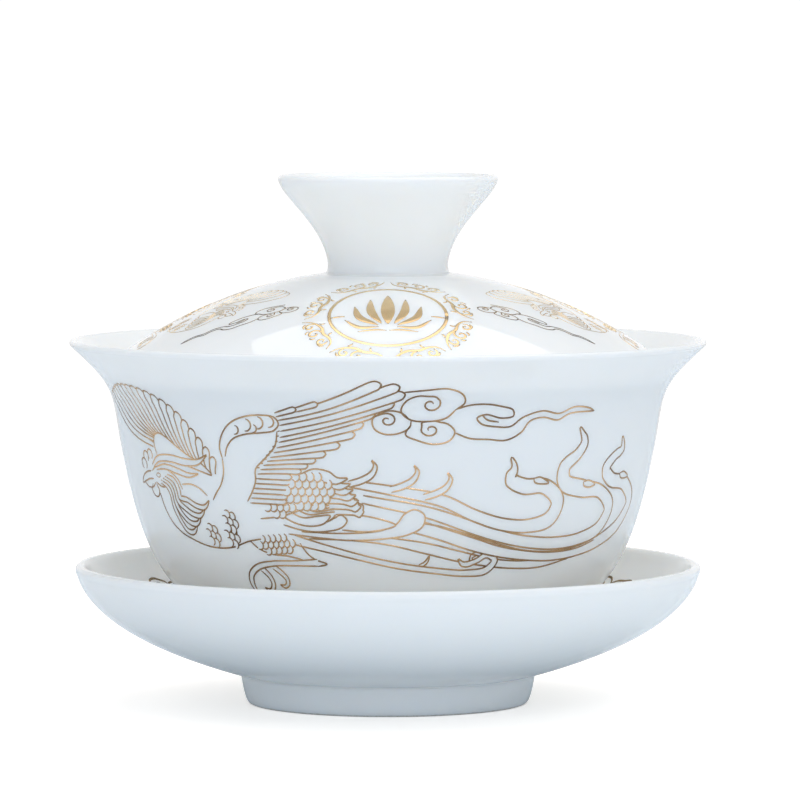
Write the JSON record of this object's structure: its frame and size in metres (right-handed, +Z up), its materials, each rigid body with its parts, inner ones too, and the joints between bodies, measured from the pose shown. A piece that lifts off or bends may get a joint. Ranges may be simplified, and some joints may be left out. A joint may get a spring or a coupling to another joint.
{
  "type": "gaiwan",
  "caption": "Covered porcelain tea bowl: a flared bowl on a footed saucer, with a domed lid that has a hollow ring knob and rests inside the bowl's flare.",
  "frame": {"origin": "centre of the saucer's foot ring, on the table", "axes": "+Z up along the axis that all three pieces are turned about; -Y is the side the main painted bird faces the viewer from; +X is to that viewer's right"},
  "size_m": [0.1002, 0.1002, 0.0832],
  "materials": {
    "porcelain": "glossy clear glaze over white porcelain, slightly blue",
    "foot_rim": "unglazed, fine ground, matte",
    "gilding": "fired gold lustre lines, soft shine"
  },
  "bodies": {
    "saucer": {"saucer": "porcelain"},
    "bowl": {"bowl": "porcelain"},
    "lid": {"lid": "porcelain"}
  },
  "joints": [
    {"name": "bowl_lift", "type": "slide", "parent": "saucer", "child": "bowl", "axis": [0, 0, 1], "range_m": [0, 0.05]},
    {"name": "lid_lift", "type": "slide", "parent": "bowl", "child": "lid", "axis": [0, 0, 1], "range_m": [0, 0.05]}
  ]
}
